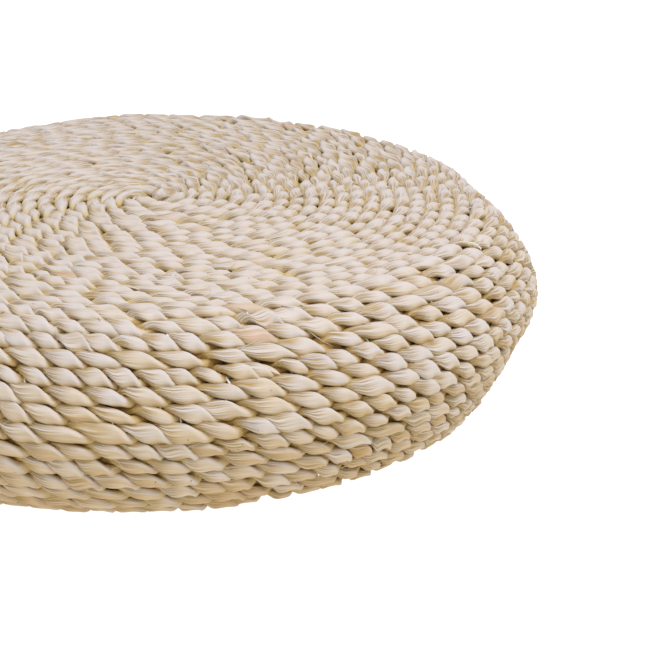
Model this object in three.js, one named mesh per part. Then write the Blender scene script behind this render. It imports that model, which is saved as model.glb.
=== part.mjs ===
// A thick round seat pad. One long two-ply rope of dried maize husk is coiled flat over the top, down
// the wall and flat again under the base, each course sewn to the one before it with nylon thread.
// Inside, a stack of foam discs sits in a cloth lining. Millimetres, +Z up, origin at the base centre.
import * as THREE from "three";

// Driving dimensions.
const outerRadius = 200;
const thickness = 94;
const flatRadius = 172.5; // where the flat faces turn over into the wall
const wallExponent = 1.5; // 2 would be an elliptical wall, 1 two straight bevels
const ropeDiameter = 8.6;
const grooveDepth = 2.2; // between two courses of rope
const faceCourses = 21;
const wallCourses = 13;
const coreOfCoil = 9; // radius of the rope's tucked end in the middle of each face
const landShare = 0.5; // share of a course that is pressed level with its neighbours
const threadDiameter = 0.8;
const threadLayer = 3; // room for the stitches between rope and lining
const liningThickness = 1;
const foamDiscs = 3;
const gap = 0.3; // between pieces that touch
const foamEase = 2; // how loosely the foam sits in its lining
const flatInset = 4; // how far the end faces of the wall coil lean inwards
const endBevel = 1.5; // on the rope's tucked ends
const threadTurnsFace = 6;
const threadTurnsWall = 4;
const threadStart = 18; // radius where the face threads begin
const threadMargin = 12; // how far they stay inside the flat's edge
const threadReach = 50; // degrees of the wall's turn that its thread covers on each side of the middle

// How finely round and curved shapes are stepped.
const roundSegments = 32;
const wallSteps = 400; // fine steps that measure the wall's length
const stepsPerCourse = 8;
const threadStepsPerTurn = 20;
const liningSteps = 8;
const foamSteps = 40;
const foamEdgeSteps = 4;
const tolerance = 1e-6;

// How rough each finish is.
const huskRoughness = 0.6;
const nylonRoughness = 0.4;
const clothRoughness = 0.95;
const foamRoughness = 0.9;

// Sizes that follow from them.
const halfHeight = thickness / 2;
const threadDepth = ropeDiameter + threadLayer / 2;
const liningDepth = ropeDiameter + threadLayer;

// The wall's outline for a layer that lies `depth` inside the rope's outer face.
// Turn runs from 90 degrees at the top edge to -90 at the base edge.
function wallPoint(turn, depth) {
  const flat = flatRadius - flatInset * (depth / ropeDiameter);
  const across = Math.abs(Math.cos(turn)) ** (2 / wallExponent);
  const up = Math.sign(Math.sin(turn)) * Math.abs(Math.sin(turn)) ** (2 / wallExponent);
  const reach = outerRadius - depth - flat;
  return new THREE.Vector2(flat + reach * across, halfHeight + (halfHeight - depth) * up);
}

// The outline at equal steps of its own length, from the top edge to the base edge.
function wallOutline(depth, pieces) {
  const fine = [];
  for (let i = 0; i <= wallSteps; i += 1) {
    fine.push(wallPoint(Math.PI / 2 - (Math.PI * i) / wallSteps, depth));
  }
  const lengths = [0];
  for (let i = 1; i <= wallSteps; i += 1) {
    lengths.push(lengths[i - 1] + fine[i].distanceTo(fine[i - 1]));
  }
  const points = [];
  for (let i = 0; i <= pieces; i += 1) {
    const target = (lengths[wallSteps] * i) / pieces;
    const after = Math.max(1, lengths.findIndex((length) => length >= target - tolerance));
    const share = (target - lengths[after - 1]) / (lengths[after] - lengths[after - 1]);
    points.push(fine[after - 1].clone().lerp(fine[after], share));
  }
  return points;
}

// A profile in radius and height, drawn anticlockwise, turned about the Z axis.
function turned(profile) {
  const geometry = new THREE.LatheGeometry(profile, roundSegments);
  geometry.rotateX(Math.PI / 2);
  return geometry;
}

function disc(radius, low, high) {
  return turned([
    new THREE.Vector2(0, low),
    new THREE.Vector2(radius, low),
    new THREE.Vector2(radius, high),
    new THREE.Vector2(0, high),
  ]);
}

// A flat coil: each course is a low land with a groove on both sides, as it is pressed in use.
// The middle is open for the rope's tucked end.
function faceCoil(outside, inside) {
  const pitch = (flatRadius - gap - coreOfCoil) / faceCourses;
  const margin = (pitch * (1 - landShare)) / 2;
  const groove = outside + grooveDepth * Math.sign(inside - outside);
  const profile = [new THREE.Vector2(coreOfCoil, groove)];
  for (let course = 0; course < faceCourses; course += 1) {
    const inner = coreOfCoil + pitch * course;
    profile.push(new THREE.Vector2(inner + margin, outside));
    profile.push(new THREE.Vector2(inner + pitch - margin, outside));
    profile.push(new THREE.Vector2(inner + pitch, groove));
  }
  profile.push(new THREE.Vector2(flatRadius - flatInset - gap, inside));
  profile.push(new THREE.Vector2(coreOfCoil, inside));
  profile.push(profile[0].clone());
  return turned(outside < inside ? profile : profile.reverse());
}

// The wall coil: a ring with a land and a groove for each course, as on the faces.
function wallCoil() {
  const outline = wallOutline(0, wallCourses * stepsPerCourse);
  const margin = Math.round((stepsPerCourse * (1 - landShare)) / 2);
  const outer = [];
  for (let i = 0; i < outline.length; i += 1) {
    const place = i % stepsPerCourse;
    if (place === margin || place === stepsPerCourse - margin) outer.push(outline[i]);
    if (place === 0) {
      const atEnd = i === 0 || i === outline.length - 1;
      const before = outline[Math.max(0, i - 1)];
      const after = outline[Math.min(outline.length - 1, i + 1)];
      const along = after.clone().sub(before).normalize();
      const inward = new THREE.Vector2(along.y, -along.x);
      if (atEnd) inward.set(0, Math.sign(halfHeight - outline[i].y));
      outer.push(outline[i].clone().addScaledVector(inward, grooveDepth));
    }
  }
  const inner = wallOutline(ropeDiameter, wallCourses);
  return turned([...outer.reverse(), ...inner, outer[0].clone()]);
}

// The rope's end, turned down into the middle of a face, with a small bevel on the outside.
function tuckedEnd(outside, inside) {
  const bevel = endBevel * Math.sign(inside - outside);
  const radius = coreOfCoil - gap;
  const profile = [
    new THREE.Vector2(0, outside),
    new THREE.Vector2(radius - endBevel, outside),
    new THREE.Vector2(radius, outside + bevel),
    new THREE.Vector2(radius, inside),
    new THREE.Vector2(0, inside),
  ];
  return turned(outside < inside ? profile : profile.reverse());
}

// A thread along a curve of its own.
function thread(curve, steps) {
  const half = threadDiameter / 2;
  const section = new THREE.Shape([
    new THREE.Vector2(half, 0),
    new THREE.Vector2(0, half),
    new THREE.Vector2(-half, 0),
    new THREE.Vector2(0, -half),
  ]);
  return new THREE.ExtrudeGeometry(section, { steps, extrudePath: curve, bevelEnabled: false });
}

class FaceSpiral extends THREE.Curve {
  constructor(height) {
    super();
    this.height = height;
  }

  getPoint(t, target = new THREE.Vector3()) {
    const radius = threadStart + (flatRadius - threadMargin - threadStart) * t;
    const angle = 2 * Math.PI * threadTurnsFace * t;
    return target.set(radius * Math.cos(angle), radius * Math.sin(angle), this.height);
  }
}

class WallHelix extends THREE.Curve {
  getPoint(t, target = new THREE.Vector3()) {
    const turn = THREE.MathUtils.degToRad(threadReach * (1 - 2 * t));
    const place = wallPoint(turn, threadDepth);
    const angle = 2 * Math.PI * threadTurnsWall * t;
    return target.set(place.x * Math.cos(angle), place.x * Math.sin(angle), place.y);
  }
}

// The lining: a disc of cloth under each face and a band round the wall.
function liningBand() {
  const outer = wallOutline(liningDepth, liningSteps);
  const inner = wallOutline(liningDepth + liningThickness, liningSteps);
  return turned([...outer.reverse(), ...inner, outer[0].clone()]);
}

// One disc of the foam stack, rounded where it meets the band.
function foamDisc(low, high) {
  const depth = liningDepth + liningThickness + foamEase;
  const outline = wallOutline(depth, foamSteps).reverse();
  const edge = (height) => {
    const above = Math.max(1, outline.findIndex((point) => point.y >= height - tolerance));
    const lower = outline[above - 1];
    const upper = outline[above];
    const share = THREE.MathUtils.clamp((height - lower.y) / (upper.y - lower.y), 0, 1);
    return new THREE.Vector2(lower.x + (upper.x - lower.x) * share, height);
  };
  const profile = [new THREE.Vector2(0, low)];
  for (let i = 0; i <= foamEdgeSteps; i += 1) {
    profile.push(edge(low + ((high - low) * i) / foamEdgeSteps));
  }
  profile.push(new THREE.Vector2(0, high));
  return turned(profile);
}

const group = new THREE.Group();

function material(color, roughness) {
  return new THREE.MeshStandardMaterial({ color, roughness, metalness: 0 });
}

function add(name, geometry, surface) {
  const mesh = new THREE.Mesh(geometry, surface);
  mesh.name = name;
  group.add(mesh);
}

const huskPale = 0xe6dcc8;
const huskWall = 0xdccdb2;
const nylonWhite = 0xf2f2ee;
const liningBrown = 0x8a6a42;
const foamWhite = 0xefefe8;

add("top_coil", faceCoil(thickness, thickness - ropeDiameter), material(huskPale, huskRoughness));
add("wall_coil", wallCoil(), material(huskWall, huskRoughness));
add("base_coil", faceCoil(0, ropeDiameter), material(huskPale, huskRoughness));
add("rope_start", tuckedEnd(thickness, thickness - ropeDiameter), material(huskPale, huskRoughness));
add("rope_tail", tuckedEnd(0, ropeDiameter), material(huskWall, huskRoughness));

const faceThreadSteps = threadTurnsFace * threadStepsPerTurn;
const wallThreadSteps = threadTurnsWall * roundSegments;
const topSpiral = new FaceSpiral(thickness - threadDepth);
const baseSpiral = new FaceSpiral(threadDepth);
add("top_thread", thread(topSpiral, faceThreadSteps), material(nylonWhite, nylonRoughness));
add("wall_thread", thread(new WallHelix(), wallThreadSteps), material(nylonWhite, nylonRoughness));
add("base_thread", thread(baseSpiral, faceThreadSteps), material(nylonWhite, nylonRoughness));

const liningRadius = wallPoint(Math.PI / 2, liningDepth).x - gap - liningThickness;
const liningTop = thickness - liningDepth;
const cloth = () => material(liningBrown, clothRoughness);
add("lining_top", disc(liningRadius, liningTop - liningThickness, liningTop), cloth());
add("lining_band", liningBand(), cloth());
add("lining_base", disc(liningRadius, liningDepth, liningDepth + liningThickness), cloth());

const stackLow = liningDepth + liningThickness + foamEase;
const stackHigh = thickness - stackLow;
const discHeight = (stackHigh - stackLow - gap * (foamDiscs - 1)) / foamDiscs;
["foam_lower", "foam_middle", "foam_upper"].forEach((name, i) => {
  const low = stackLow + i * (discHeight + gap);
  add(name, foamDisc(low, low + discHeight), material(foamWhite, foamRoughness));
});

export default group;
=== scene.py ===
# A round seat pad coiled from two-ply maize-husk rope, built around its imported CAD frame.
import math
import bpy
import numpy as np
from mathutils import Matrix, Vector


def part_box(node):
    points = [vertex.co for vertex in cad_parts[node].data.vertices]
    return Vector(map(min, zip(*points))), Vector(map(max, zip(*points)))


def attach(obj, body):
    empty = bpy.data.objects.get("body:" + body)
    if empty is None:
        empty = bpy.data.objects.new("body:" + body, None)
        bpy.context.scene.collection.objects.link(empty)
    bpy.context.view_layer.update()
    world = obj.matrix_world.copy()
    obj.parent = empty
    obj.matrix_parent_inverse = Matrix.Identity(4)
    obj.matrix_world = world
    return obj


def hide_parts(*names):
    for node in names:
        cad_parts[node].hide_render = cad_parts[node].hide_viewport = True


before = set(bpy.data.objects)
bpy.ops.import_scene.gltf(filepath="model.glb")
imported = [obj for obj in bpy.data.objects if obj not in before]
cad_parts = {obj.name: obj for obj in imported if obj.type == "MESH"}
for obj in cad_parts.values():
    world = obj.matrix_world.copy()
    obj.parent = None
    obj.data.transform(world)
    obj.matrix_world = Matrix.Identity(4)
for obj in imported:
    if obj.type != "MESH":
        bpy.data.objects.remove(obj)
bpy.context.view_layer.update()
mm = 0.001


class Wire:
    # One output socket of a node tree. Sums on it add Math nodes, so that shader and
    # geometry maths read as plain Python. Made with a tree alone, it is where a tree starts.
    def __init__(self, tree, socket=None):
        self.tree = tree
        self.socket = socket

    def node(self, kind, settings=None, inputs=None, output=0):
        made = self.tree.nodes.new(kind)
        for name, value in (settings or {}).items():
            if name == "stops":
                setStops(made.color_ramp, value)
            else:
                setattr(made, name, value)
        for key, value in (inputs or {}).items():
            if isinstance(value, Wire):
                self.tree.links.new(value.socket, made.inputs[key])
            elif value is not None:
                made.inputs[key].default_value = value
        return Wire(self.tree, made.outputs[output])

    def math(self, operation, *values):
        return self.node("ShaderNodeMath", {"operation": operation}, dict(enumerate(values)))

    def __add__(self, other):
        return self.math("ADD", self, other)

    def __radd__(self, other):
        return self.math("ADD", other, self)

    def __sub__(self, other):
        return self.math("SUBTRACT", self, other)

    def __rsub__(self, other):
        return self.math("SUBTRACT", other, self)

    def __mul__(self, other):
        return self.math("MULTIPLY", self, other)

    def __rmul__(self, other):
        return self.math("MULTIPLY", other, self)

    def __truediv__(self, other):
        return self.math("DIVIDE", self, other)

    def __rtruediv__(self, other):
        return self.math("DIVIDE", other, self)

    def __pow__(self, other):
        return self.math("POWER", self, other)

    def __neg__(self):
        return self.math("MULTIPLY", self, -1.0)

    def sin(self):
        return self.math("SINE", self)

    def cos(self):
        return self.math("COSINE", self)

    def floor(self):
        return self.math("FLOOR", self)

    def fraction(self):
        return self.math("FRACT", self)

    def size(self):
        return self.math("ABSOLUTE", self)

    def low(self, other):
        return self.math("MINIMUM", self, other)

    def high(self, other):
        return self.math("MAXIMUM", self, other)

    # 0 below start, 1 above end, smooth between
    def step(self, start, end):
        settings = {"interpolation_type": "SMOOTHSTEP", "clamp": True}
        return self.node("ShaderNodeMapRange", settings, {0: self, 1: start, 2: end, 3: 0.0, 4: 1.0})

    def vector(self, operation, *values):
        scalars = ("DOT_PRODUCT", "LENGTH", "DISTANCE")
        output = 1 if operation in scalars else 0
        inputs = dict(enumerate(values))
        if operation == "SCALE":
            inputs = {0: values[0], 3: values[1]}
        return self.node("ShaderNodeVectorMath", {"operation": operation}, inputs, output)

    def plus(self, other):
        return self.vector("ADD", self, other)

    def times(self, amount):
        return self.vector("SCALE", self, amount)

    def split(self):
        made = self.node("ShaderNodeSeparateXYZ", None, {0: self})
        return [Wire(self.tree, socket) for socket in made.socket.node.outputs]

    def join(self, x, y, z):
        return self.node("ShaderNodeCombineXYZ", None, {0: x, 1: y, 2: z})

    # smooth random value about 0.5 at a point, or along a line when w is given alone
    def noise(self, vector=None, w=None, scale=1.0, detail=0.0, rough=0.5):
        kinds = {(True, False): "3D", (False, True): "1D", (True, True): "4D"}
        settings = {"noise_dimensions": kinds[vector is not None, w is not None]}
        inputs = {"Vector": vector, "W": w, "Scale": scale, "Detail": detail, "Roughness": rough}
        return self.node("ShaderNodeTexNoise", settings, inputs)

    # an unrelated random value from 0 to 1 for each whole number
    def chance(self, salt):
        inputs = {"W": self.floor() + salt}
        return self.node("ShaderNodeTexWhiteNoise", {"noise_dimensions": "1D"}, inputs)

    # blend of two colours by a factor
    def mix(self, factor, first, second):
        return self.node("ShaderNodeMix", {"data_type": "RGBA"}, {0: factor, 6: first, 7: second}, 2)

    # colour read from a list of places and colours
    def ramp(self, stops):
        return self.node("ShaderNodeValToRGB", {"stops": stops}, {0: self})


def setStops(ramp, stops):
    while len(ramp.elements) > len(stops):
        ramp.elements.remove(ramp.elements[-1])
    while len(ramp.elements) < len(stops):
        ramp.elements.new(1.0)
    for element, (place, colour) in zip(ramp.elements, stops):
        element.position = place
        element.color = (*colour, 1.0)


# Sizes, from the frame.

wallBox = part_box("wall_coil")
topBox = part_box("top_coil")
pad = {
    "outerRadius": wallBox[1].x,
    "thickness": topBox[1].z,
    "flatRadius": topBox[1].x,
    "wallExponent": 1.5,
    "ropeDepth": topBox[1].z - topBox[0].z,
    "flatInset": 4 * mm,
    "faceCourses": 22,
    "wallCourses": 13,
    "firstPitchShare": 0.88,
    "hub": (3.8 * mm, 9.7 * mm, 0.0),  # how far off centre the top coil was begun
    # where it has been pressed out of round: azimuth, radius, height, reach, how much less far
    # the dent reaches up and down, and its depth, which is negative for a bulge
    "dents": [
        (-18, 188 * mm, 14 * mm, 76 * mm, 1.0, 4.4 * mm),
        (-42, 188 * mm, 16 * mm, 70 * mm, 1.0, 2.2 * mm),
        (-72, 188 * mm, 12 * mm, 60 * mm, 1.0, 1.2 * mm),
        (32, 184 * mm, 82 * mm, 65 * mm, 1.0, 1.4 * mm),
        (10, 188 * mm, 78 * mm, 56 * mm, 1.0, 4.0 * mm),
        (120, 178 * mm, 86 * mm, 95 * mm, 1.0, 3.8 * mm),
        (-6, 197 * mm, 42 * mm, 50 * mm, 1.0, -3.0 * mm),
        (-112, 190 * mm, 24 * mm, 110 * mm, 3.5, -1.2 * mm),
    ],
}


# The pad's outline in radius and height at a depth inside it, from the middle of the top,
# over the shoulder and back to the middle of the base.
def meridian(depth, faceSteps=60, wallSteps=160):
    flat = pad["flatRadius"] - pad["flatInset"] * depth / pad["ropeDepth"]
    half = pad["thickness"] / 2
    power = 2 / pad["wallExponent"]
    reach = pad["outerRadius"] - depth - flat
    points = [(flat * i / faceSteps, pad["thickness"] - depth) for i in range(faceSteps)]
    for i in range(wallSteps + 1):
        turn = math.pi / 2 - math.pi * i / wallSteps
        across = abs(math.cos(turn)) ** power
        up = math.copysign(abs(math.sin(turn)) ** power, math.sin(turn))
        points.append((flat + reach * across, half + (half - depth) * up))
    points += [(flat * (1 - i / faceSteps), depth) for i in range(1, faceSteps + 1)]
    return np.array(points)


ropeLine = meridian(pad["ropeDepth"] / 2)
steps = np.hypot(*np.diff(ropeLine, axis=0).T)
lineLength = float(steps.sum())
flatLength = pad["flatRadius"] - pad["flatInset"] / 2
wallLength = lineLength - 2 * flatLength

rope = {
    "facePitch": flatLength / pad["faceCourses"],
    "wallPitch": wallLength / pad["wallCourses"],
    "firstTurn": 0.28,  # turns left out in the middle of each face
    "pointsPerTurn": 96,
    "lay": 30.5 * mm,  # length of rope in which a ply winds round once
    "faceLay": 29 * mm,
    "offset": 2.2 * mm,  # of each ply from the rope's centre line
    "halfDepth": 2.4 * mm,
    "halfWidth": 3.8 * mm,
    "wander": 1.3 * mm,  # neighbouring courses, sideways together
    "wanderScale": 16.0,
    "heave": 0.9 * mm,  # neighbouring courses, in and out together
    "heaveScale": 22.0,
    "stray": 0.7 * mm,  # one course on its own
    "strayScale": 26.0,
    "strayHeaveScale": 30.0,
    "dive": 5 * mm,  # how far the two ends are tucked in
    "seed": 7.0,
}
rope["turns"] = 2 * pad["faceCourses"] + pad["wallCourses"] - 2 * rope["firstTurn"]


# The rope's length up to each of its turns, so that stretches of it can be cut by length.
def ropeLengthAt(turns):
    samples = 40000
    k = np.linspace(rope["firstTurn"], rope["firstTurn"] + rope["turns"], samples)
    faces = pad["faceCourses"]
    share = pad["firstPitchShare"]
    down = np.clip(k - faces, 0, pad["wallCourses"]) / pad["wallCourses"]
    u = rope["facePitch"] * np.minimum(k, faces)
    u = u + wallLength * down * (share + (1 - share) * down)
    u = u + rope["facePitch"] * np.maximum(k - faces - pad["wallCourses"], 0)
    along = np.concatenate([[0], np.cumsum(steps)])
    radius = np.interp(u, along, ropeLine[:, 0])
    height = np.interp(u, along, ropeLine[:, 1])
    angle = 2 * math.pi * k
    path = np.stack([radius * np.cos(angle), radius * np.sin(angle), height], 1)
    length = np.concatenate([[0], np.cumsum(np.linalg.norm(np.diff(path, axis=0), axis=1))])
    return [float(np.interp(turn, k, length)) for turn in turns]


def newTree(name, inputs):
    tree = bpy.data.node_groups.new(name, "GeometryNodeTree")
    tree.is_modifier = True
    for label, kind, value in inputs:
        socket = tree.interface.new_socket(label, in_out="INPUT", socket_type=kind)
        if value is not None:
            socket.default_value = value
    tree.interface.new_socket("Geometry", in_out="OUTPUT", socket_type="NodeSocketGeometry")
    given = tree.nodes.new("NodeGroupInput")
    wires = {label: Wire(tree, given.outputs[label]) for label, kind, value in inputs}
    return tree, Wire(tree), wires


def endTree(tree, geometry):
    out = tree.nodes.new("NodeGroupOutput")
    tree.links.new(geometry.socket, out.inputs[0])


def keep(net, geometry, name, kind, value):
    settings = {"data_type": kind, "domain": "POINT"}
    inputs = {"Geometry": geometry, "Name": name, "Value": value}
    return net.node("GeometryNodeStoreNamedAttribute", settings, inputs)


def recall(net, name, kind):
    return net.node("GeometryNodeInputNamedAttribute", {"data_type": kind}, {"Name": name})


number = "NodeSocketFloat"
whole = "NodeSocketInt"


# The rope's centre line: a spiral laid along the outline, with the outward direction kept on it.
def makePathTree():
    tree, net, given = newTree("RopePath", [
        ("Geometry", "NodeSocketGeometry", None),
        ("Face Courses", number, pad["faceCourses"]),
        ("Wall Courses", number, pad["wallCourses"]),
        ("Face Pitch", number, rope["facePitch"]),
        ("Wall Pitch", number, rope["wallPitch"]),
        ("First Pitch Share", number, pad["firstPitchShare"]),
        ("First Turn", number, rope["firstTurn"]),
        ("Turns", number, rope["turns"]),
        ("Points", whole, int(rope["turns"] * rope["pointsPerTurn"])),
        ("From", number, 0.0),
        ("To", number, 1.0),
        ("Step", number, 2 * mm),
        ("Wander", number, rope["wander"]),
        ("Heave", number, rope["heave"]),
        ("Stray", number, rope["stray"]),
        ("Dive", number, rope["dive"]),
        ("Hub", "NodeSocketVector", pad["hub"]),
        ("Seed", number, rope["seed"]),
    ])
    outline = net.node("GeometryNodeMeshToCurve", None, {0: given["Geometry"]})
    line = net.node("GeometryNodeCurvePrimitiveLine")
    line = net.node("GeometryNodeResampleCurve", None, {"Curve": line, "Count": given["Points"]})
    place = net.node("GeometryNodeInputIndex") / (given["Points"] - 1.0)
    k = given["First Turn"] + place * given["Turns"]
    faces = given["Face Courses"]
    walls = given["Wall Courses"]
    u = given["Face Pitch"] * k.low(faces)
    # the courses widen on their way down the wall
    down = (k - faces).high(0.0).low(walls) / walls
    share = given["First Pitch Share"]
    u = u + given["Wall Pitch"] * walls * down * (share + (1.0 - share) * down)
    u = u + given["Face Pitch"] * (k - faces - walls).high(0.0)
    sampled = net.node("GeometryNodeSampleCurve", {"mode": "LENGTH"}, {"Curves": outline, "Length": u})
    outputs = sampled.socket.node.outputs
    radius, _, height = Wire(tree, outputs["Position"]).split()
    slopeR, _, slopeZ = Wire(tree, outputs["Tangent"]).split()
    angle = k * (2 * math.pi)
    c, s = angle.cos(), angle.sin()
    centre = net.join(radius * c, radius * s, height)
    centre = centre.plus(given["Hub"].times((faces - k).high(0.0) / faces))
    outward = net.join(-slopeZ * c, -slopeZ * s, slopeR)
    along = net.join(slopeR * c, slopeR * s, slopeZ)
    # neighbouring courses read the same noise, so they wander together
    seed = given["Seed"]
    drift = net.noise(vector=centre, w=seed, scale=rope["wanderScale"], detail=1.0) - 0.5
    lift = net.noise(vector=centre, w=seed + 5.0, scale=rope["heaveScale"], detail=1.0) - 0.5
    ends = (k - given["First Turn"]).low(given["First Turn"] + given["Turns"] - k)
    sink = 1.0 - ends.step(0.0, 0.3)
    own = net.noise(vector=centre, w=k * 2.0 + 11.0, scale=rope["strayScale"], detail=1.0) - 0.5
    rise = net.noise(vector=centre, w=k * 2.0 + 37.0, scale=rope["strayHeaveScale"]) - 0.5
    centre = centre.plus(along.times(drift * given["Wander"] * 2.0 + own * given["Stray"] * 2.0))
    lift = lift * given["Heave"] * 2.0 + rise * given["Stray"] * 1.6
    for azimuth, dentRadius, dentHeight, reach, narrow, depth in pad["dents"]:
        azimuth = math.radians(azimuth)
        dentAt = (dentRadius * math.cos(azimuth), dentRadius * math.sin(azimuth), dentHeight * narrow)
        apart = centre.vector("MULTIPLY", centre, (1.0, 1.0, narrow))
        apart = apart.vector("DISTANCE", apart, dentAt)
        lift = lift - (1.0 - apart.step(0.0, reach)) * slopeR.step(-1.0, -0.5) * depth
    centre = centre.plus(outward.times(lift - sink * given["Dive"]))
    line = net.node("GeometryNodeSetPosition", None, {"Geometry": line, "Position": centre})
    line = keep(net, line, "outward", "FLOAT_VECTOR", outward)
    line = net.node("GeometryNodeTrimCurve", {"mode": "LENGTH"}, {"Curve": line})
    # it has a hidden pair of ends for its other mode, so the pair is picked by what is enabled
    trims = [i for i in line.socket.node.inputs if i.name in ("Start", "End") and i.enabled]
    tree.links.new(given["From"].socket, trims[0])
    tree.links.new(given["To"].socket, trims[1])
    inputs = {"Curve": line, "Length": given["Step"]}
    line = net.node("GeometryNodeResampleCurve", {"mode": "LENGTH"}, inputs)
    run = net.node("GeometryNodeSplineParameter", None, None, 1) + given["From"]
    line = keep(net, line, "run", "FLOAT", run)
    line = keep(net, line, "heading", "FLOAT_VECTOR", net.node("GeometryNodeInputTangent"))
    line = keep(net, line, "middle", "FLOAT_VECTOR", net.node("GeometryNodeInputPosition"))
    endTree(tree, line)
    return tree


pathTree = makePathTree()
pathNames = ["Geometry", "From", "To", "Step"]


def ropePath(net, given):
    node = net.node("GeometryNodeGroup", {"node_tree": pathTree})
    for name in pathNames:
        net.tree.links.new(given[name].socket, node.socket.node.inputs[name])
    return node


ply = {
    "fold": 0.45 * mm,
    "unevenness": 0.42,  # how much winds differ in width
    "unevenTwist": 2.6,  # turns gained and lost along the rope
    "twistScale": 3.0,
    "jitter": 0.3,  # turns gained and lost from one wind to the next
    "jitterScale": 21.0,
    "linger": 0.22,  # how long a ply stays on the outside
    "swelling": 0.14,  # how much wider it is there
    "slackWidth": 0.12,
    "gatherLeast": 0.3,  # how strongly a wind is folded over its belly
    "gatherGain": 1.25,  # and how much more so at its ends
    "gatherSlack": 0.25,
    "creaseScale": 20.0,
    "creaseShare": 2.6,
    "pleatScale": 34.0,
    "pleatShare": 1.3,
    "facetShare": 1.6,
    "overlapShare": 0.8,
    "pressedFold": 0.4,
    "pressedOffset": 0.1,
    "flatAbove": 3.8 * mm,
    "flatShare": 0.8,
    "groundShare": 0.12,  # how much of what would reach under the ground is left
    "liftRange": 8.8 * mm,  # from the bottom of a groove to the top of a wind
    "overlapEdge": 0.82,  # where across a strip its edge starts to step down
}


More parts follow.
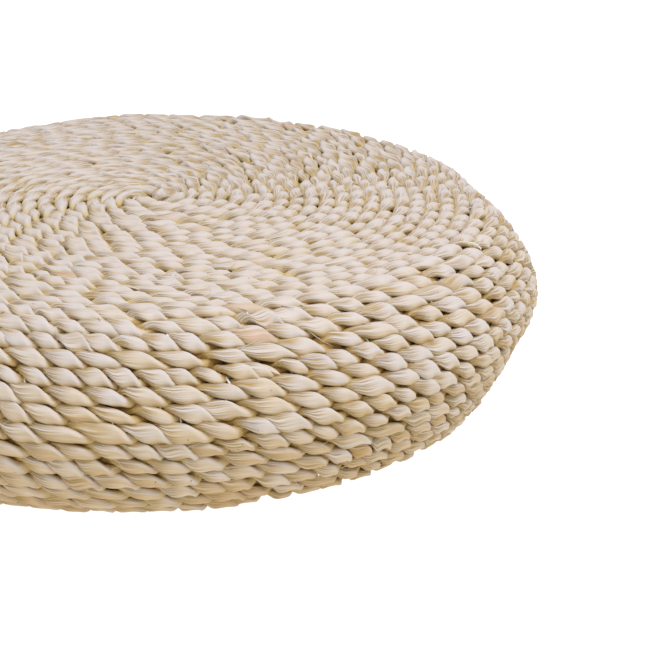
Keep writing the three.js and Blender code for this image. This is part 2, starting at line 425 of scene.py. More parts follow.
# One ply of the rope: a flattened bundle of husk that winds round the rope's centre line.
# Its mesh lines follow the fibres, so folds and strip edges stay crisp.
def makePlyTree():
    tree, net, given = newTree("HuskPly", [
        ("Geometry", "NodeSocketGeometry", None),
        ("From", number, 0.0),
        ("To", number, 1.0),
        ("Step", number, 2 * mm),
        ("Sides", whole, 18),
        ("Lay", number, rope["lay"]),
        ("Phase", number, 0.0),
        ("Offset", number, rope["offset"]),
        ("Half Depth", number, rope["halfDepth"]),
        ("Half Width", number, rope["halfWidth"]),
        ("Spread Start", number, 1.0),
        ("Spread End", number, 1.0),
        ("Fold", number, ply["fold"]),
        ("Unevenness", number, ply["unevenness"]),
        ("Uneven Twist", number, ply["unevenTwist"]),
        ("Linger", number, ply["linger"]),
        ("Swelling", number, ply["swelling"]),
        ("Seed", number, 1.0),
        ("Material", "NodeSocketMaterial", None),
    ])
    line = ropePath(net, given)
    inputs = {"Resolution": given["Sides"]}
    ring = net.node("GeometryNodeCurvePrimitiveCircle", {"mode": "RADIUS"}, inputs)
    ring = keep(net, ring, "column", "FLOAT", net.node("GeometryNodeInputIndex"))
    inputs = {"Curve": line, "Profile Curve": ring, "Fill Caps": True}
    tube = net.node("GeometryNodeCurveToMesh", None, inputs)
    run = recall(net, "run", "FLOAT")
    middle = recall(net, "middle", "FLOAT_VECTOR")
    heading = recall(net, "heading", "FLOAT_VECTOR")
    heading = heading.vector("NORMALIZE", heading)
    outward = recall(net, "outward", "FLOAT_VECTOR")
    outward = outward.vector("NORMALIZE", outward)
    across = heading.vector("CROSS_PRODUCT", heading, outward)
    column = recall(net, "column", "FLOAT")
    seed = given["Seed"]
    # how far round the rope the ply has wound, in turns; the hand that twists is never even
    turn = run / given["Lay"] + given["Phase"]
    turn = turn + (net.noise(w=run * ply["jitterScale"] + seed * 9.0) - 0.5) * ply["jitter"]
    turn = turn + (net.noise(w=run * ply["twistScale"] + 50.0) - 0.5) * given["Uneven Twist"]
    phi = turn * (2 * math.pi)
    # a ply lies along the outside for longer than it takes to dive under the other
    phi = phi - (phi * 2.0).sin() * given["Linger"]
    c, s = phi.cos(), phi.sin()
    # every length that shows is a wind of its own: some fat, some lean, a few flat and slack
    wind = turn + 0.5 + seed * 31.0
    slack = wind.chance(0.11).step(0.86, 0.93)
    wide = (wind.chance(0.23) - 0.5) * given["Unevenness"] + slack * ply["slackWidth"]
    deep = (wind.chance(0.37) - 0.5) * given["Unevenness"] * 0.8 - slack * ply["slackWidth"]
    apart = (wind.chance(0.53) - 0.5) * given["Unevenness"]
    gamma = column * (2 * math.pi) / given["Sides"]
    alpha = gamma - phi * 1.12
    # strips of husk wrapped over each other, with an edge that steps down
    wobble = net.noise(w=run * 14.0 + seed * 7.0) * 1.6 + wind.chance(0.71)
    strip = (gamma / (2 * math.pi) * 2.0 + wobble).fraction()
    edge = ply["overlapEdge"]
    ledge = strip - (strip - edge).high(0.0) / (1.0 - edge)
    offset = wind.floor() * 5.3
    crease = net.noise(vector=net.join(column * 0.62, run * ply["creaseScale"], offset)) - 0.5
    pleat = net.noise(vector=net.join(column * 2.71, run * ply["pleatScale"], offset + 9.0)) - 0.5
    facet = net.join(gamma.cos() * 1.1, gamma.sin() * 1.1, run * 30.0 + seed * 17.0)
    facet = net.noise(vector=facet) - 0.5
    # the folds gather where the ply comes out from under the other one, and open over its belly
    gather = ply["gatherLeast"] + (0.5 - s * 0.5) * ply["gatherGain"] + slack * ply["gatherSlack"]
    folds = (crease * ply["creaseShare"] + pleat * ply["pleatShare"]) * gather
    swell = (ledge - 0.45) * ply["overlapShare"] + folds + facet * ply["facetShare"]
    # sitting has pressed the top courses a little flatter
    pressed = outward.split()[2].step(0.5, 0.98)
    swell = swell * given["Fold"] * (1.0 - pressed * ply["pressedFold"])
    rd = given["Half Depth"] * (1.0 + deep) + swell
    rw = given["Half Width"] * (1.0 + wide + s * given["Swelling"]) + swell
    out = given["Offset"] * (1.0 + apart * 0.5) * (1.0 - pressed * ply["pressedOffset"])
    radial = out + rd * alpha.cos()
    around = rw * alpha.sin()
    up = radial * c - around * s
    part = (run - given["From"]) / (given["To"] - given["From"])
    spread = given["Spread Start"] + (given["Spread End"] - given["Spread Start"]) * part
    side = (radial * s + around * c) * spread
    # the outer face is pressed a little flat
    limit = ply["flatAbove"]
    up = up.low(limit) + (up - limit).high(0.0) * ply["flatShare"]
    place = middle.plus(outward.times(up)).plus(across.times(side))
    x, y, z = place.split()
    z = z.high(0.0) + z.low(0.0) * ply["groundShare"]  # the base rests on the ground
    place = net.join(x, y, z)
    mesh = net.node("GeometryNodeSetPosition", None, {"Geometry": tube, "Position": place})
    mesh = keep(net, mesh, "lift", "FLOAT", up / ply["liftRange"] + 0.5)
    grain = net.join(gamma.cos(), gamma.sin(), run * 40.0 + seed)
    mesh = keep(net, mesh, "grain", "FLOAT_VECTOR", grain)
    mesh = keep(net, mesh, "wind", "FLOAT", wind)
    mesh = keep(net, mesh, "gather", "FLOAT", gather)
    # how far each point of the husk faces the sky, kept for painted light: the husk turns paler where it
    # faces up and yellower where it faces sideways or down
    normal = net.node("GeometryNodeInputNormal")
    mesh = keep(net, mesh, "bleach", "FLOAT", normal.split()[2] * 0.5 + 0.5)
    for name in ("middle", "heading", "outward", "column"):
        mesh = net.node("GeometryNodeRemoveAttribute", None, {"Geometry": mesh, "Name": name})
    mesh = net.node("GeometryNodeSetShadeSmooth", None, {"Geometry": mesh})
    mesh = net.node("GeometryNodeRealizeInstances", None, {"Geometry": mesh})
    mesh = net.node("GeometryNodeSetMaterial", None, {"Geometry": mesh, "Material": given["Material"]})
    endTree(tree, mesh)
    return tree


# Runs a tree on the rope's outline and keeps the result as a plain mesh object at the origin.
def grow(name, tree, values):
    host = bpy.data.meshes.new(name + "_line")
    verts = [(r, 0.0, z) for r, z in ropeLine]
    host.from_pydata(verts, [(i, i + 1) for i in range(len(verts) - 1)], [])
    source = bpy.data.objects.new(name + "_source", host)
    bpy.context.scene.collection.objects.link(source)
    modifier = source.modifiers.new("Grow", "NODES")
    modifier.node_group = tree
    for item in tree.interface.items_tree:
        if item.item_type == "SOCKET" and item.in_out == "INPUT" and item.name in values:
            modifier[item.identifier] = values[item.name]
    bpy.context.view_layer.update()
    graph = bpy.context.evaluated_depsgraph_get()
    mesh = bpy.data.meshes.new_from_object(source.evaluated_get(graph))
    bpy.data.objects.remove(source)
    bpy.data.meshes.remove(host)
    mesh.name = name
    piece = bpy.data.objects.new(name, mesh)
    bpy.context.scene.collection.objects.link(piece)
    return piece


def newMaterial(name):
    made = bpy.data.materials.new(name)
    made.use_nodes = True
    made.node_tree.nodes.clear()
    return made, Wire(made.node_tree)


def attribute(net, name, output=0):
    return net.node("ShaderNodeAttribute", {"attribute_name": name}, None, output)


def endMaterial(net, shader):
    out = net.tree.nodes.new("ShaderNodeOutputMaterial")
    net.tree.links.new(shader.socket, out.inputs[0])


def makeHusk(name, look):
    made, net = newMaterial(name)
    lift = attribute(net, "lift", 2)
    bleach = attribute(net, "bleach", 2)
    wind = attribute(net, "wind", 2)
    gx, gy, gz = attribute(net, "grain", 1).split()

    # noise drawn out along the fibres, from how fine it is across and along them
    def drawn(fineness, salt, detail=0.0, rough=0.5):
        across, along = fineness
        place = net.join(gx * across, gy * across, gz * along + salt)
        return net.noise(vector=place, detail=detail, rough=rough)

    strand = drawn(look["strandFineness"], 0.0, detail=3.0, rough=0.6)
    pleats = drawn(look["pleatFineness"], 0.0, detail=1.0)
    broad = drawn(look["broadFineness"], 0.0, detail=2.0)
    # narrow folds along the fibres, closest where the ply is gathered, drawn as painted crease shade and
    # as grooves in the bump
    near = drawn(look["lineFineness"], wind.floor() * 7.3)
    finer = drawn(look["finerFineness"], wind.floor() * 3.1)
    near = 1.0 - ((near - 0.5).size() * look["lineSharpness"]).low(1.0)
    finer = 1.0 - ((finer - 0.5).size() * look["finerSharpness"]).low(1.0)
    gathered = attribute(net, "gather", 2).step(0.6, 1.35)
    lines = near.high(finer * look["finerShare"]) * gathered.high(look["leastGathered"])
    place = net.node("ShaderNodeTexCoord", None, None, 3)
    patch = net.noise(vector=place, scale=9.0, detail=2.0)
    x, y, z = place.split()
    height = z / pad["thickness"]
    each = wind.chance(0.91)
    tone = (broad - 0.5) * look["broadShare"] + (each - 0.5) * look["eachShare"]
    # the tone also runs darker and more tan towards the bottom of the pad
    tone = tone + (patch - 0.5) * look["patchShare"] + (height - 0.5) * look["heightShare"]
    # painted light: faces turned to the sky are paler, faces turned sideways and down are more yellow
    sky = bleach.high(look["leastPaintedSkylight"]) - 0.5
    tone = tone + sky * look["paintedSkylightShare"] + 0.5
    colour = tone.ramp(look["tones"])
    # a few strips are riper, from tan to orange
    ripe = wind.chance(0.47).step(0.955, 0.99) * broad.step(0.4, 0.6)
    colour = net.mix(ripe * look["ripeShare"], colour, look["ripe"])
    colour = net.mix(strand.step(0.5, 0.78) * look["streakShare"], colour, look["streak"])
    colour = net.mix(pleats.step(0.56, 0.3) * look["foldShare"], colour, look["fold"])
    # painted shade: dark gold lines in the narrow folds
    colour = net.mix(lines * look["creaseShadeShare"], colour, look["line"])
    # painted shade: warm yellow where the ply turns under, partly the husk's own yellower colour there,
    # and painted brown shade in the grooves
    face = height.step(0.82, 0.95)
    under = net.mix(face, look["turn"], look["faceTurn"])
    # the groove along the shoulder lies open to the light, so less of the painted turn shade is laid
    # there
    fromShoulder = ((x * x + y * y) ** 0.5 - pad["flatRadius"]).size()
    shoulder = fromShoulder.step(look["shoulderReach"], look["shoulderCore"]) * height.step(0.6, 0.8)
    turned = (1.0 - lift.step(look["turnLow"], look["turnHigh"])) * look["turnShare"]
    colour = net.mix(turned * (1.0 - shoulder * look["shoulderShare"]), colour, under)
    # painted brown shade in the grooves, darker on the walls than on the face
    deep = net.mix(face, look["deep"], look["faceDeep"])
    paintedGrooveShade = (1.0 - lift.step(look["deepLow"], look["deepHigh"])) * look["grooveShadeShare"]
    colour = net.mix(paintedGrooveShade, colour, deep)
    # small dark specks, in patches
    speck = net.noise(vector=place, scale=420.0, detail=1.0).step(0.76, 0.8) * patch.step(0.5, 0.62)
    colour = net.mix(speck * look["speckShare"], colour, look["speck"])
    # smoother on bellies than where the ply is gathered, and worn on the face that is sat on
    relief = strand * 0.3 + pleats * 1.1 + broad * 0.5 - lines * 1.2
    relief = relief * (1.0 - face * look["faceWear"]) * (0.45 + gathered * 0.55)
    bump = net.node("ShaderNodeBump", None, {
        "Strength": look["bumpStrength"], "Distance": look["bumpDepth"], "Height": relief,
    })
    shader = net.node("ShaderNodeBsdfPrincipled", None, {
        "Base Color": colour, "Roughness": look["roughness"] + strand * 0.22, "Normal": bump,
        "Specular IOR Level": look["shine"],
    })
    endMaterial(net, shader)
    return made


huskLook = {
    "tones": [
        (0.0, (0.51, 0.35, 0.18)),
        (0.25, (0.565, 0.425, 0.26)),
        (0.45, (0.60, 0.495, 0.375)),
        (0.62, (0.615, 0.535, 0.45)),
        (0.85, (0.605, 0.545, 0.51)),
        (1.0, (0.60, 0.545, 0.535)),
    ],
    "strandFineness": (9.0, 0.8),
    "pleatFineness": (3.6, 0.55),
    "broadFineness": (1.5, 0.4),
    "broadShare": 1.1,
    "eachShare": 0.38,
    "patchShare": 0.25,
    "heightShare": 0.35,
    # how strongly painted light pales faces turned up and yellows faces turned away
    "paintedSkylightShare": 1.0,
    "leastPaintedSkylight": 0.3,
    "ripe": (0.52, 0.29, 0.12, 1.0),
    "ripeShare": 0.6,
    "streak": (0.58, 0.45, 0.26, 1.0),
    "streakShare": 0.2,
    "fold": (0.55, 0.40, 0.20, 1.0),
    "foldShare": 0.2,
    # painted shade in the narrow folds
    "line": (0.38, 0.23, 0.05, 1.0),
    "creaseShadeShare": 0.95,
    "lineFineness": (1.7, 0.3),
    "lineSharpness": 10.0,
    "finerFineness": (3.4, 0.4),
    "finerSharpness": 9.0,
    "finerShare": 0.7,
    "leastGathered": 0.06,
    # painted warm shade where a ply turns under, partly the husk's own yellower colour there
    "turn": (0.50, 0.345, 0.13, 1.0),
    "faceTurn": (0.60, 0.465, 0.24, 1.0),
    "turnLow": 0.68,
    "turnHigh": 0.96,
    "turnShare": 0.95,
    "shoulderShare": 0.65,
    "shoulderReach": 14 * mm,
    "shoulderCore": 5 * mm,
    # painted shade in the grooves
    "deep": (0.27, 0.145, 0.03, 1.0),
    "faceDeep": (0.42, 0.27, 0.075, 1.0),
    "deepLow": 0.55,
    "deepHigh": 0.67,
    "grooveShadeShare": 0.9,
    "speck": (0.12, 0.06, 0.03, 1.0),
    "speckShare": 0.6,
    "faceWear": 0.5,
    "bumpStrength": 0.65,
    "bumpDepth": 0.7 * mm,
    "roughness": 0.5,
    "shine": 0.3,
}
husk = makeHusk("husk", huskLook)

plyTree = makePlyTree()
faceEnd = pad["faceCourses"]
wallEnd = faceEnd + pad["wallCourses"]
lastTurn = rope["firstTurn"] + rope["turns"]
middleOfWall = (faceEnd + wallEnd) / 2
cuts = ropeLengthAt([rope["firstTurn"] + 1.0, faceEnd, middleOfWall, wallEnd, lastTurn - 1.0, lastTurn])
print("rope length in metres at its cuts", [round(cut, 3) for cut in cuts])

# name, CAD node, from, to, step between rings, sides, lay, and how far it spreads at its two ends
stretches = [
    ("rope_start", "rope_start", 0.0, cuts[0], 1.6 * mm, 18, rope["faceLay"], 1.0, 1.0),
    ("top_coil", "top_coil", cuts[0], cuts[1], 2.2 * mm, 18, rope["faceLay"], 1.0, 1.0),
    ("upper_wall", "wall_coil", cuts[1], cuts[2], 1.8 * mm, 20, rope["lay"], 1.0, 1.07),
    ("lower_wall", "wall_coil", cuts[2], cuts[3], 1.8 * mm, 20, rope["lay"], 1.07, 1.22),
    ("base_coil", "base_coil", cuts[3], cuts[4], 2.4 * mm, 16, rope["faceLay"], 1.15, 1.0),
    ("rope_tail", "rope_tail", cuts[4], cuts[5], 1.6 * mm, 18, rope["faceLay"], 1.0, 1.0),
]


def settle(piece, slot, *nodes):
    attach(piece, "root")
    if nodes:
        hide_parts(*nodes)
    print(piece.name, "triangles", sum(len(p.vertices) - 2 for p in piece.data.polygons))


wound = 0.0
for name, node, start, end, step, sides, lay, spreadStart, spreadEnd in stretches:
    # each stretch takes the twist up where the last one left it
    for ply, phase in (("a", 0.0), ("b", 0.5)):
        settle(grow(f"{name}_ply_{ply}", plyTree, {
            "From": start, "To": end, "Step": step, "Sides": sides, "Lay": lay,
            "Phase": phase + wound - start / lay, "Seed": 1.0 + phase * 4,
            "Spread Start": spreadStart, "Spread End": spreadEnd, "Material": husk,
        }), "husk_rope", node)
    wound += (end - start) / lay


# Stitches, loose ends and tow are small things that ride on the rope's line.
def makeLooseTree():
    tree, net, given = newTree("LooseBits", [
        ("Geometry", "NodeSocketGeometry", None),
        ("From", number, 0.0),
        ("To", number, 1.0),
        ("Step", number, 30 * mm),
        ("Share", number, 0.5),
        ("Length", number, 12 * mm),
        ("Width", number, 2 * mm),
        ("Thickness", number, 0.3 * mm),
        ("Taper", number, 0.7),
        ("Round", number, 0.0),
        ("Arch", number, 0.0),
        ("Rise", number, 1.5 * mm),
        ("Bend", number, 1.0 * mm),
        ("Slant", number, -0.4),
        ("Slant Spread", number, 0.3),
        ("Across", number, 0.0),
        ("Across Spread", number, 2 * mm),
        ("Height", number, 3.4 * mm),
        ("Height Spread", number, 0.4 * mm),
        ("Seed", whole, 1),
        ("Material", "NodeSocketMaterial", None),
    ])
    line = ropePath(net, given)
    size = net.join(given["Length"], given["Width"], given["Thickness"])
    inputs = {"Size": size, "Vertices X": 7, "Vertices Y": 2, "Vertices Z": 2}
    bit = net.node("GeometryNodeMeshCube", None, inputs)
    x, y, z = net.node("GeometryNodeInputPosition").split()
    t = x / given["Length"] + 0.5
    ends = 1.0 - (t * 2.0 - 1.0).size() ** 2.5
    narrow = (1.0 - t * t * given["Taper"]) * (ends * given["Round"] + (1.0 - given["Round"]))
    arch = (1.0 - (t * 2.0 - 1.0) * (t * 2.0 - 1.0)) * given["Arch"]
    shaped = net.join(x, y * narrow + t * t * given["Bend"], z * narrow + t * t * given["Rise"] + arch)
    bit = net.node("GeometryNodeSetPosition", None, {"Geometry": bit, "Position": shaped})
    bit = keep(net, bit, "fibre", "FLOAT_VECTOR", net.join(x * 60.0, y * 900.0, z * 900.0))

    def between(low, high, salt):
        inputs = {2: low, 3: high, "Seed": given["Seed"] * 1.0 + salt}
        return net.node("FunctionNodeRandomValue", {"data_type": "FLOAT"}, inputs, 1)

    chosen = between(0.0, 1.0, 1).math("LESS_THAN", between(0.0, 1.0, 1), given["Share"])
    axes = {"primary_axis": "Z", "secondary_axis": "X"}
    inputs = {0: recall(net, "outward", "FLOAT_VECTOR"), 1: recall(net, "heading", "FLOAT_VECTOR")}
    turned = net.node("FunctionNodeAxesToRotation", axes, inputs)
    scale = between(0.7, 1.25, 2)
    bits = net.node("GeometryNodeInstanceOnPoints", None, {
        "Points": line, "Selection": chosen, "Instance": bit, "Rotation": turned,
        "Scale": net.join(scale, scale, 1.0),
    })
    moved = net.join(0.0, given["Across"] + given["Across Spread"] * between(-1.0, 1.0, 3),
                     given["Height"] + given["Height Spread"] * between(-1.0, 1.0, 4))
    inputs = {"Instances": bits, "Translation": moved, "Local Space": True}
    bits = net.node("GeometryNodeTranslateInstances", None, inputs)
    spin = net.join(0.0, 0.0, given["Slant"] + given["Slant Spread"] * between(-1.0, 1.0, 5))
    spin = net.node("FunctionNodeEulerToRotation", None, {0: spin})
    inputs = {"Instances": bits, "Rotation": spin, "Local Space": True}
    bits = net.node("GeometryNodeRotateInstances", None, inputs)
    mesh = net.node("GeometryNodeRealizeInstances", None, {"Geometry": bits})
    for name in ("middle", "heading", "outward", "run"):
        mesh = net.node("GeometryNodeRemoveAttribute", None, {"Geometry": mesh, "Name": name})
    mesh = net.node("GeometryNodeSetMaterial", None, {"Geometry": mesh, "Material": given["Material"]})
    endTree(tree, mesh)
    return tree


# A plain fibrous finish, used where a piece carries its fibres as an attribute.
def makeFibre(name, dark, pale, roughness):
    made, net = newMaterial(name)
    fibre = attribute(net, "fibre", 1)
    place = net.node("ShaderNodeTexCoord", None, None, 3)
    strand = net.noise(vector=fibre, scale=2.0, detail=2.0)
    patch = net.noise(vector=place, scale=30.0, detail=1.0)
    colour = net.mix((strand - 0.5) * 0.9 + patch, dark, pale)
    bump = net.node("ShaderNodeBump", None, {"Strength": 0.4, "Distance": 0.2 * mm, "Height": strand})
    endMaterial(net, net.node("ShaderNodeBsdfPrincipled", None, {
        "Base Color": colour, "Roughness": roughness + strand * 0.2, "Normal": bump,
        "Specular IOR Level": 0.35,
    }))
    return made


looseTree = makeLooseTree()
nylon = makeFibre("nylon", (0.74, 0.73, 0.70, 1.0), (0.90, 0.90, 0.88, 1.0), 0.2)
paleStrip = makeFibre("pale_strip", (0.52, 0.40, 0.23, 1.0), (0.66, 0.58, 0.50, 1.0), 0.5)
brownTow = makeFibre("brown_tow", (0.22, 0.13, 0.05, 1.0), (0.45, 0.30, 0.13, 1.0), 0.6)
facePitch, wallPitch = rope["facePitch"], rope["wallPitch"]
stitchReach = 1.15  # its length, as a share of the distance between courses
stitch = {
    "Step": 29 * mm, "Share": 1.0, "Width": 0.7 * mm, "Thickness": 0.7 * mm, "Taper": 0.0,
    "Arch": 2.6 * mm, "Rise": 0.0, "Bend": 0.0, "Slant": -1.25, "Slant Spread": 0.2,
    "Across Spread": 0.4 * mm, "Height": -2.0 * mm, "Height Spread": 1.4 * mm, "Material": nylon,
}
stripEnd = {
    "Step": 37 * mm, "Share": 0.06, "Length": 12 * mm, "Width": 2.2 * mm, "Thickness": 0.3 * mm,
    "Taper": 0.3, "Round": 0.9, "Arch": 1.2 * mm, "Rise": 0.2 * mm, "Bend": -0.8 * mm,
    "Across Spread": 0.8 * mm, "Height": 2.6 * mm, "Material": paleStrip,
}
whisker = {
    "Step": 31 * mm, "Share": 0.16, "Length": 14 * mm, "Width": 0.28 * mm, "Thickness": 0.28 * mm,
    "Rise": 1.6 * mm, "Bend": 3 * mm, "Slant Spread": 0.9, "Across Spread": 2.5 * mm, "Height": 3.2 * mm,
    "Material": paleStrip,
}
tow = {
    "Step": 8 * mm, "Share": 0.3, "Length": 9 * mm, "Width": 0.32 * mm, "Thickness": 0.25 * mm,
    "Taper": 0.5, "Arch": 0.5 * mm, "Rise": 1.0 * mm, "Bend": 2 * mm, "Slant Spread": 1.4,
    "Across Spread": 0.8 * mm, "Height": 0.6 * mm, "Height Spread": 1.2 * mm, "Material": brownTow,
}
loose = [
    ("top_stitches", stitch, cuts[0], cuts[1], facePitch, "nylon_thread", ["top_thread"]),
    ("wall_stitches", stitch, cuts[1], cuts[3], wallPitch, "nylon_thread", ["wall_thread"]),
    ("base_stitches", stitch, cuts[3], cuts[4], facePitch, "nylon_thread", ["base_thread"]),
    ("strip_ends", stripEnd, cuts[0], cuts[3], 0.0, "husk_rope", []),
    ("whiskers", whisker, cuts[0], cuts[3], 0.0, "husk_rope", []),
    ("groove_tow", tow, cuts[0], cuts[3], wallPitch, "husk_rope", []),
]
for place, (name, kind, start, end, pitch, slot, nodes) in enumerate(loose):
    values = dict(kind, From=start, To=end, Across=-pitch / 2, Seed=place * 10 + 3)
    if kind is stitch:
        values["Length"] = pitch * stitchReach
    settle(grow(name, looseTree, values), slot, *nodes)

inside = {
    "spokes": 128,
    "ripple": 0.35 * mm,  # how far the flat cloths wave up and down
    "bandThickness": 1 * mm,
    "bandEdge": 0.6 * mm,
    "bandRadius": 190 * mm,  # where the band's weave is at its true size
    "clothRings": 40,
    "bandRings": 28,
    "foamWallRings": 24,
    "foamFaceRings": 30,
    "foamEdge": 7 * mm,
    "foamFill": 0.8,
}


# Turns a line of radius and height about the axis into a closed skin, with one point at a pole.
def turn(name, outline, ring):
    mesh = bpy.data.meshes.new(name)
    verts, rows, faces = [], [], []
    for r, z in outline:
        count = 1 if r < 1e-6 else inside["spokes"]
        rows.append([len(verts) + i % count for i in range(inside["spokes"])])
        for i in range(count):
            angle = 2 * math.pi * i / inside["spokes"]
            verts.append((r * math.cos(angle), r * math.sin(angle), z))
    pairs = list(zip(rows, rows[1:] + rows[:1])) if ring else list(zip(rows, rows[1:]))
    for low, high in pairs:
        for i in range(inside["spokes"]):
            j = (i + 1) % inside["spokes"]
            # beside a pole two corners are the same point, and one of them is dropped
            faces.append(list(dict.fromkeys([low[i], low[j], high[j], high[i]])))
    mesh.from_pydata(verts, [], faces)
    for polygon in mesh.polygons:
        polygon.use_smooth = True
    piece = bpy.data.objects.new(name, mesh)
    bpy.context.scene.collection.objects.link(piece)
    return piece


# Ripples a turned piece gently, both faces alike, and keeps its weave direction as an attribute.
def finishTurned(piece, material, ripple):
    mesh = piece.data
    weave = mesh.attributes.new("weave", "FLOAT_VECTOR", "POINT")
    for vertex, woven in zip(mesh.vertices, weave.data):
        x, y, z = vertex.co
        wave = math.sin(31 * x + 17 * y) * math.sin(23 * y - 41 * x + 1.3)  # slow and uneven
        vertex.co.z += ripple * wave
        if "band" in piece.name:
            woven.vector = (math.atan2(y, x) * inside["bandRadius"], z, math.hypot(x, y))
        else:
            woven.vector = (x, y, z)
    mesh.materials.append(material)


def makeCloth(name, look):
    made, net = newMaterial(name)
    u, v, _ = attribute(net, "weave", 1).split()
    place = net.node("ShaderNodeTexCoord", None, None, 3)
    warp = (u * (2 * math.pi / look["yarn"])).sin()
    weft = (v * (2 * math.pi / look["yarn"])).sin()
    over = (warp * weft) * 0.5 + 0.5
    slub = net.noise(vector=place, scale=300.0, detail=2.0)
    colour = net.mix(over * 0.6 + slub * 0.5, look["dark"], look["pale"])
    relief = over + slub * 0.5
    bump = net.node("ShaderNodeBump", None, {"Strength": 0.8, "Distance": 0.5 * mm, "Height": relief})
    endMaterial(net, net.node("ShaderNodeBsdfPrincipled", None, {
        "Base Color": colour, "Roughness": 0.85 + slub * 0.1, "Normal": bump, "Specular IOR Level": 0.2,
    }))
    return made


def makeFoam(name, look):
    made, net = newMaterial(name)
    place = net.node("ShaderNodeTexCoord", None, None, 3)
    settings, inputs = {"feature": "DISTANCE_TO_EDGE"}, {"Vector": place, "Scale": look["cellScale"]}
    cells = net.node("ShaderNodeTexVoronoi", settings, inputs)
    age = net.noise(vector=place, scale=14.0, detail=2.0)
    colour = net.mix(age, look["aged"], look["fresh"])
    colour = net.mix(cells.step(0.12, 0.0) * look["cellShare"], colour, look["cell"])
    bump = net.node("ShaderNodeBump", None, {"Strength": 0.6, "Distance": 0.5 * mm, "Height": cells})
    endMaterial(net, net.node("ShaderNodeBsdfPrincipled", None, {
        "Base Color": colour, "Roughness": 0.9, "Normal": bump, "Specular IOR Level": 0.2,
    }))
    return made


liningLook = {
    "yarn": 1.6 * mm,
    "dark": (0.10, 0.06, 0.025, 1.0),
    "pale": (0.30, 0.19, 0.09, 1.0),
}
foamLook = {
    "aged": (0.80, 0.74, 0.55, 1.0),
    "fresh": (0.88, 0.86, 0.78, 1.0),
    "cell": (0.62, 0.56, 0.40, 1.0),
    "cellShare": 0.4,
    "cellScale": 900.0,
}
liningCloth = makeCloth("lining_cloth", liningLook)
foamFinish = makeFoam("foam", foamLook)


# The stretch of the wall's outline between two heights, from the top down.
def wallPart(depth, low, high, count):
    faceSteps, wallSteps = 10, 400
    line = meridian(depth, faceSteps, wallSteps)[faceSteps:-faceSteps]
    heights = np.linspace(high, low, count)
    radii = np.interp(-heights, -line[:, 1], line[:, 0])
    return list(zip(radii.tolist(), heights.tolist()))


for name in ("lining_top", "lining_base"):
    low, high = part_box(name)
    rings = np.linspace(0, high.x, inside["clothRings"]).tolist()
    outline = [(r, low.z) for r in rings] + [(r, high.z) for r in reversed(rings)]
    piece = turn(name + "_cloth", outline, False)
    finishTurned(piece, liningCloth, inside["ripple"])
    settle(piece, "lining_cloth", name)
    held = "laid" if name == "lining_base" else "stretched"
    under = "base_coil" if name == "lining_base" else "foam_upper"

low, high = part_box("lining_band")
depth = pad["outerRadius"] - high.x
edge = inside["bandEdge"]
outer = wallPart(depth, low.z, high.z, inside["bandRings"])
inner = wallPart(depth + inside["bandThickness"], low.z + edge, high.z - edge, inside["bandRings"])
band = turn("lining_band_cloth", (outer + inner[::-1])[::-1], True)
finishTurned(band, liningCloth, 0.0)
settle(band, "lining_cloth", "lining_band")

foamDepth = pad["outerRadius"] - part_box("foam_middle")[1].x
for name in ("foam_lower", "foam_middle", "foam_upper"):
    low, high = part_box(name)
    wall = wallPart(foamDepth, low.z, high.z, inside["foamWallRings"])
    edge = inside["foamEdge"]
    rounded = []
    for r, z in wall:
        nearest = min(z - low.z, high.z - z)
        inset = edge * (1 - math.sqrt(max(0.0, 1 - (1 - min(1.0, nearest / edge)) ** 2)))
        rounded.append((r - inset, z))
    top = [(r, high.z) for r in np.linspace(0, rounded[0][0], inside["foamFaceRings"]).tolist()[:-1]]
    bottom = [(r, low.z) for r in np.linspace(rounded[-1][0], 0, inside["foamFaceRings"]).tolist()[1:]]
    piece = turn(name + "_block", (top + rounded + bottom)[::-1], False)
    finishTurned(piece, foamFinish, 0.0)
    settle(piece, "foam", name)

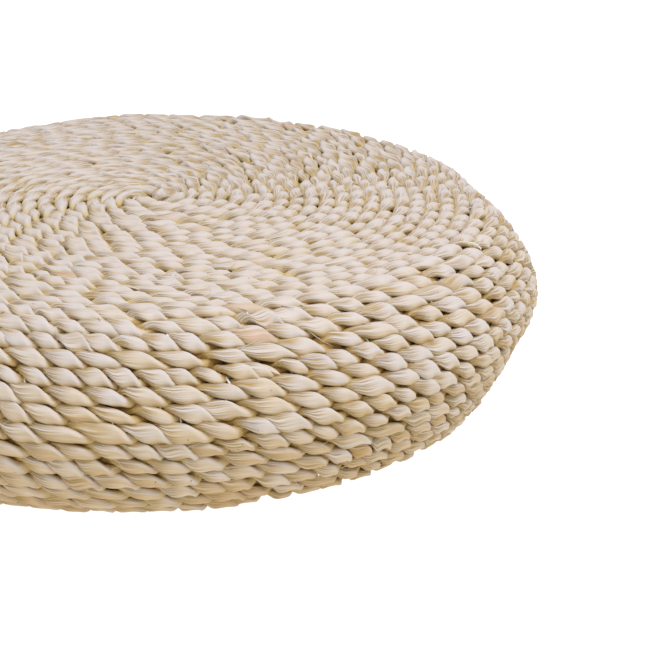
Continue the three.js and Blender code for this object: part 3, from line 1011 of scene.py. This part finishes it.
stage = {
    "floorReach": 6.0,
    "floorDrop": 0.5 * mm,
    "floorTone": (0.2, 0.2, 0.2, 1.0),
    "floorGlow": 0.98,
    "sky": 0.68,
    "keyEnergy": 17.5,
    "keyPlace": (0.45, -0.55, 1.5),
    "keyTarget": (0.0, 0.0, 0.05),
    "keySize": 1.1,
}
reach = stage["floorReach"]
corners = [(x * reach, y * reach, -stage["floorDrop"]) for x, y in ((-1, -1), (1, -1), (1, 1), (-1, 1))]
floorMesh = bpy.data.meshes.new("floor")
floorMesh.from_pydata(corners, [], [(0, 1, 2, 3)])
floor = bpy.data.objects.new("floor", floorMesh)
bpy.context.scene.collection.objects.link(floor)
floorPaint, net = newMaterial("floor_paint")
endMaterial(net, net.node("ShaderNodeBsdfPrincipled", None, {
    "Base Color": stage["floorTone"], "Roughness": 0.9,
    "Emission Color": (1.0, 1.0, 1.0, 1.0), "Emission Strength": stage["floorGlow"],
}))
floorMesh.materials.append(floorPaint)

world = bpy.data.worlds.new("studio")
bpy.context.scene.world = world
world.use_nodes = True
world.node_tree.nodes["Background"].inputs["Color"].default_value = (1.0, 1.0, 1.0, 1.0)
world.node_tree.nodes["Background"].inputs["Strength"].default_value = stage["sky"]
keyData = bpy.data.lights.new("key", "AREA")
keyData.shape = "DISK"
keyData.size = stage["keySize"]
keyData.energy = stage["keyEnergy"]
keyLight = bpy.data.objects.new("key", keyData)
keyLight.location = stage["keyPlace"]
aim = Vector(stage["keyTarget"]) - Vector(stage["keyPlace"])
keyLight.rotation_euler = aim.to_track_quat("-Z", "Y").to_euler()
bpy.context.scene.collection.objects.link(keyLight)
bpy.context.scene.view_settings.view_transform = "Standard"

view = {
    "distance": 5.838,  # in radii of the pad
    "elevation": 18.88,
    # the camera's own right and up
    "right": (0.996437, -0.084343, 0.0),
    "up": (0.028682, 0.338840, 0.940407),
    "lens": 126.0166,
    "sensorWidth": 36.0,
}
cameraData = bpy.data.cameras.new("camera")
cameraData.sensor_width = view["sensorWidth"]
cameraData.lens = view["lens"]
camera = bpy.data.objects.new("camera", cameraData)
right, up = Vector(view["right"]), Vector(view["up"])
back = right.cross(up)
elevation = math.radians(view["elevation"])
away = pad["outerRadius"] * view["distance"]
camera.matrix_world = Matrix((
    (right.x, up.x, back.x, 0.0),
    (right.y, up.y, back.y, -away * math.cos(elevation)),
    (right.z, up.z, back.z, away * math.sin(elevation) + pad["thickness"] / 2),
    (0.0, 0.0, 0.0, 1.0),
))
bpy.context.scene.collection.objects.link(camera)
bpy.context.scene.camera = camera
print("floor, light and camera set")
